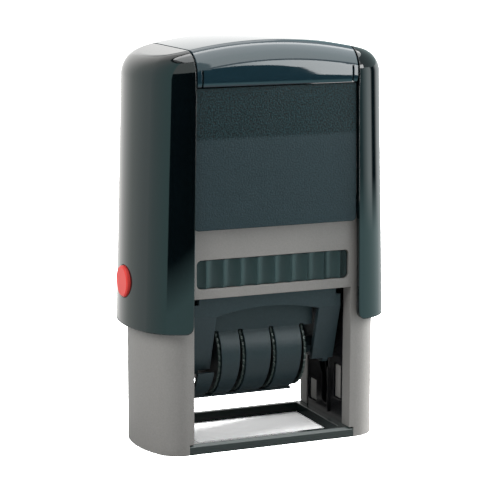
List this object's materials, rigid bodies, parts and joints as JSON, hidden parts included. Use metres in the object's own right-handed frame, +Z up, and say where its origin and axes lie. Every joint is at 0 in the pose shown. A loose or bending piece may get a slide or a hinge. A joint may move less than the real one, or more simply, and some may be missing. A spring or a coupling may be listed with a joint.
{
  "type": "date stamp",
  "caption": "Self-inking date stamp: a sprung cap slides over a frame and turns a die carrier with thumb-set date wheels from its ink pad down to the paper.",
  "frame": {"origin": "centre of the base, on the surface the stamp stands on", "axes": "+X to the right across the front, +Y to the rear, +Z up along the press stroke"},
  "size_m": [0.0758, 0.0384, 0.1112],
  "materials": {
    "cap": "glossy near-black, slightly green",
    "panel": "dark blue-grey with a fine grain",
    "window": "polished near-black",
    "card": "dark card",
    "frame": "fine-grained warm grey",
    "dark_plastic": "dark moulded plastic",
    "carrier": "dark slate, satin",
    "guard": "dark slate, satin",
    "wheel": "dark slate, satin",
    "pad_plastic": "dark, satin gloss",
    "felt": "ink-soaked felt",
    "rubber": "dull, blank type",
    "bush": "natural acetal",
    "steel": "bright wire and pins",
    "button": "glossy red"
  },
  "bodies": {
    "frame": {"frame_shell": "frame", "base_rim": "dark_plastic", "guide_plate_left": "dark_plastic", "guide_plate_right": "dark_plastic", "return_spring": "steel"},
    "pad": {"pad_cartridge": "pad_plastic", "ink_pad": "felt"},
    "cap": {"cap_shell": "cap", "front_panel": "panel", "rear_panel": "panel", "stirrup": "dark_plastic", "stirrup_bushes": "bush", "index_card": "card"},
    "window": {"index_window": "window"},
    "button_left": {"lock_button_left": "button"},
    "button_right": {"lock_button_right": "button"},
    "carrier": {"die_carrier": "carrier", "plate_mount": "dark_plastic", "text_plate": "rubber", "wheel_guard": "guard", "wheel_axle": "steel", "axle_spacers": "dark_plastic", "band_nose": "dark_plastic", "trunnion_pins": "steel", "flip_pegs": "steel", "day_tens_band": "rubber", "day_units_band": "rubber", "month_band": "rubber", "year_band": "rubber"},
    "day_tens": {"day_tens_wheel": "wheel"},
    "day_units": {"day_units_wheel": "wheel"},
    "month": {"month_wheel": "wheel"},
    "year": {"year_wheel": "wheel"}
  },
  "joints": [
    {"name": "cap_press", "type": "slide", "parent": "frame", "child": "cap", "axis": [0, 0, 1], "range_m": [-0.0285, 0], "stiffness_N_per_m": 300, "springref_m": 0.012, "deforming": ["return_spring"]},
    {"name": "carrier_flip", "type": "hinge", "parent": "cap", "child": "carrier", "pos_m": [0, 0, 0.03662], "axis": [1, 0, 0], "range_deg": [0, 180]},
    {"name": "pad_slide", "type": "slide", "parent": "frame", "child": "pad", "axis": [0, -1, 0], "range_m": [0, 0.034]},
    {"name": "window_lift", "type": "slide", "parent": "cap", "child": "window", "axis": [0, 0, 1], "range_m": [0, 0.012]},
    {"name": "lock_left", "type": "slide", "parent": "cap", "child": "button_left", "axis": [1, 0, 0], "range_m": [0, 0.0016]},
    {"name": "lock_right", "type": "slide", "parent": "cap", "child": "button_right", "axis": [-1, 0, 0], "range_m": [0, 0.0016]},
    {"name": "day_tens_turn", "type": "hinge", "parent": "carrier", "child": "day_tens", "pos_m": [0, 0, 0.02392], "axis": [1, 0, 0], "continuous": true},
    {"name": "day_units_turn", "type": "hinge", "parent": "carrier", "child": "day_units", "pos_m": [0, 0, 0.02392], "axis": [1, 0, 0], "continuous": true},
    {"name": "month_turn", "type": "hinge", "parent": "carrier", "child": "month", "pos_m": [0, 0, 0.02392], "axis": [1, 0, 0], "continuous": true},
    {"name": "year_turn", "type": "hinge", "parent": "carrier", "child": "year", "pos_m": [0, 0, 0.02392], "axis": [1, 0, 0], "continuous": true}
  ],
  "couplings": [
    {"joint": "carrier_flip", "follows": "cap_press", "rad_per_m": -110.23}
  ]
}
